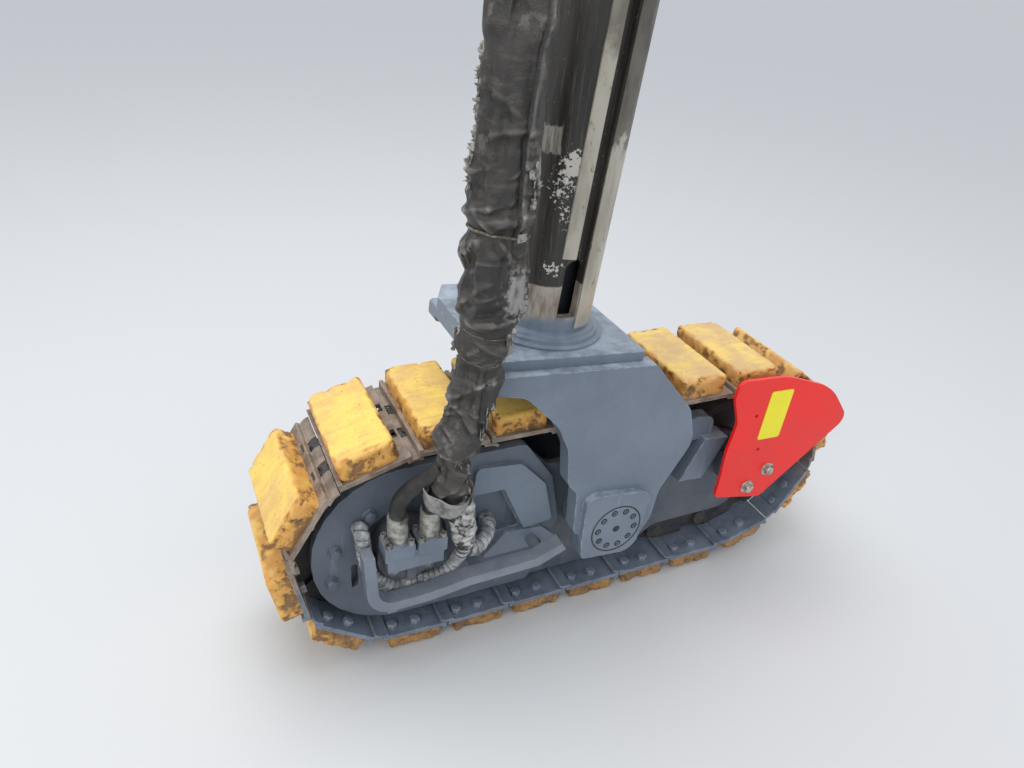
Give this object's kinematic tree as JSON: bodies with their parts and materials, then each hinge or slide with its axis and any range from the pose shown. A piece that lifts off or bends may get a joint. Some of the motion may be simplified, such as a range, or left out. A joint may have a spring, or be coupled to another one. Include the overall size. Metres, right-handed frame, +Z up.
{
  "type": "crawler track unit with lifting column",
  "caption": "Crawler track unit of a road milling machine: padded steel track, hydraulic drive, yoke and lifting column with its hose sleeve.",
  "frame": {"origin": "on the ground under the swing pin, in the middle plane of the track shoes", "axes": "+X along the track towards the idler, +Y into the machine away from the drive motor, +Z up"},
  "size_m": [1.3276, 0.4319, 1.6583],
  "materials": {
    "steel_blue": "satin",
    "frame_grey": "satin",
    "worn_steel": "matt",
    "pad_yellow": "matt",
    "guard_red": "gloss",
    "bare_metal": "satin",
    "grease_black": "satin",
    "rod_chrome": "polished",
    "hose_black": "matt",
    "hose_wrap": "matt",
    "sleeve_black": "matt"
  },
  "bodies": {
    "track": {"shoes": "worn_steel", "pads": "pad_yellow", "chain": "frame_grey", "sprocket": "frame_grey", "drive_housing": "steel_blue", "gear_cover": "steel_blue", "idler": "frame_grey", "idler_axle": "steel_blue", "rollers": "frame_grey", "carrier_roller": "frame_grey", "frame": "frame_grey", "drive_cover": "steel_blue", "pivot_tube": "steel_blue", "step_block": "steel_blue", "motor": "frame_grey", "port_block": "steel_blue", "ferrules": "bare_metal", "pipe_guard": "steel_blue", "guard_bracket": "frame_grey", "track_guard": "guard_red", "hoses": "hose_black", "wrapped_hose_left": "hose_wrap", "wrapped_hose_right": "hose_wrap"},
    "column": {"yoke_arm_outer": "steel_blue", "yoke_arm_inner": "steel_blue", "yoke_bridge": "steel_blue", "flange": "steel_blue", "swing_pin": "bare_metal", "pin_covers": "steel_blue", "column_tube": "grease_black", "guide_strips": "bare_metal", "cylinder_barrel": "frame_grey", "cylinder_gland": "steel_blue", "hose_sleeve": "sleeve_black", "hose_bracket": "steel_blue", "hose_fittings": "bare_metal"},
    "lift_rod": {"lift_rod": "rod_chrome"}
  },
  "joints": [
    {"name": "track_swing", "type": "hinge", "parent": "track", "child": "column", "pos_m": [0, 0, 0.252], "axis": [0, 1, 0], "range_deg": [-14.5, 5.5], "deforming": ["hose_sleeve"]},
    {"name": "lift_stroke", "type": "slide", "parent": "column", "child": "lift_rod", "axis": [0.0785, 0, 0.9969], "range_m": [0, 0.4]}
  ]
}
